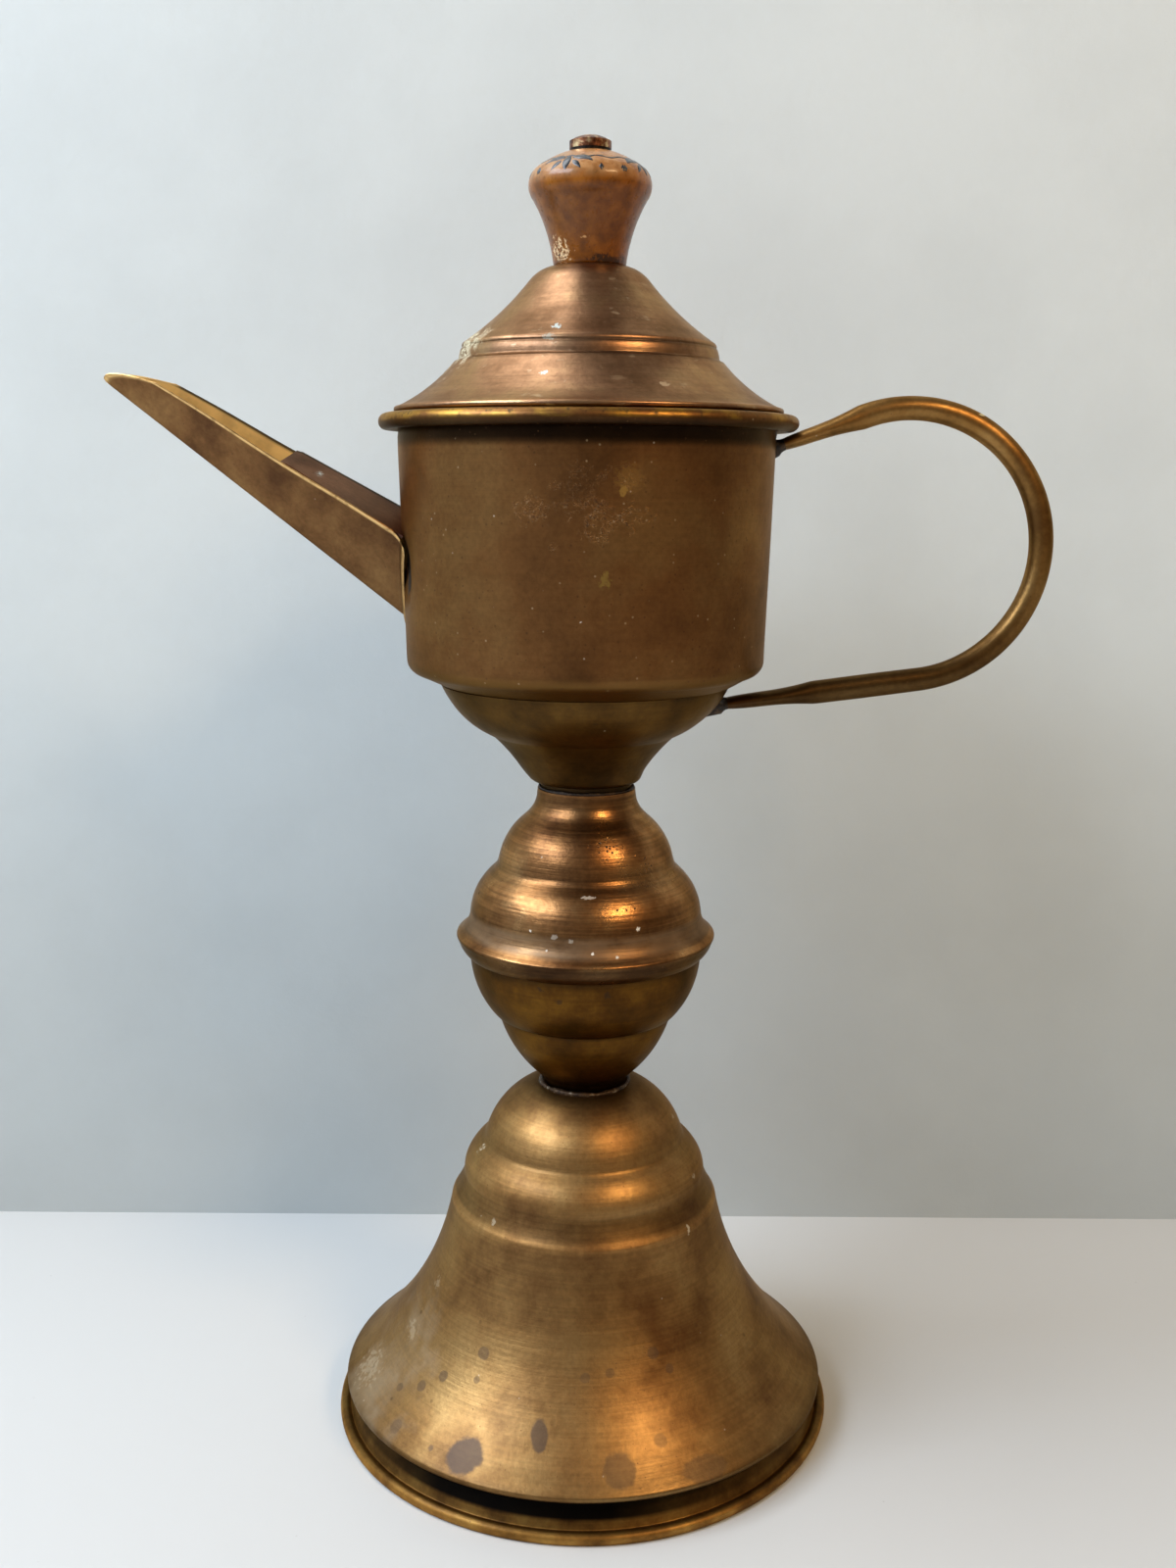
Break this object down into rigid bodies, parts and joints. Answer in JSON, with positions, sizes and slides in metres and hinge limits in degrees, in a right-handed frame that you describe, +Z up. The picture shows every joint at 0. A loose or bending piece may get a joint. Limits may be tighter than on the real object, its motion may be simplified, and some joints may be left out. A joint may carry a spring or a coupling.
{
  "type": "pedestal oil lamp",
  "caption": "Aged brass spout lamp: lidded round reservoir with an open channel spout and a loop handle, on a baluster stem and a bell foot.",
  "frame": {"origin": "on the lamp's axis, on the surface that the lamp stands on", "axes": "+Z up, -X along the spout, +X towards the handle"},
  "size_m": [0.252, 0.1428, 0.3538],
  "materials": {
    "brass_foot": "aged, golden brown with dark stains",
    "brass_knop": "aged, copper brown with spinning lines",
    "brass_bowl": "tarnished olive brown",
    "brass_pot": "tarnished olive brown, crusted in places",
    "brass_spout": "tarnished brown, rubbed bright at its edges",
    "brass_handle": "aged, satin",
    "brass_lid": "aged, pinkish brown satin",
    "brass_screw": "worn",
    "lacquered_wood": "glossy ochre lacquer",
    "solder": "dull grey tin solder",
    "steel": "darkened"
  },
  "bodies": {
    "stand": {"base_plate": "brass_foot", "base_solder": "solder", "bell_foot": "brass_foot", "foot_solder": "solder", "lower_knop": "brass_knop", "upper_knop": "brass_knop", "neck_solder": "solder", "under_bowl": "brass_bowl", "bowl_solder": "solder", "reservoir": "brass_pot", "spout_channel": "brass_spout", "spout_cover": "brass_spout", "handle": "brass_handle", "upper_handle_solder": "solder", "lower_handle_solder": "solder"},
    "lid": {"lid": "brass_lid", "lid_skirt": "brass_lid", "skirt_solder": "solder", "lid_washer": "steel"},
    "knob": {"knob": "lacquered_wood", "knob_screw": "brass_screw", "head_washer": "steel", "knob_nut": "steel"}
  },
  "joints": [
    {"name": "lid_lift", "type": "slide", "parent": "stand", "child": "lid", "axis": [0, 0, 1], "range_m": [0, 0.06]},
    {"name": "knob_turn", "type": "hinge", "parent": "lid", "child": "knob", "pos_m": [0, 0, 0.33], "axis": [0, 0, 1], "continuous": true}
  ]
}
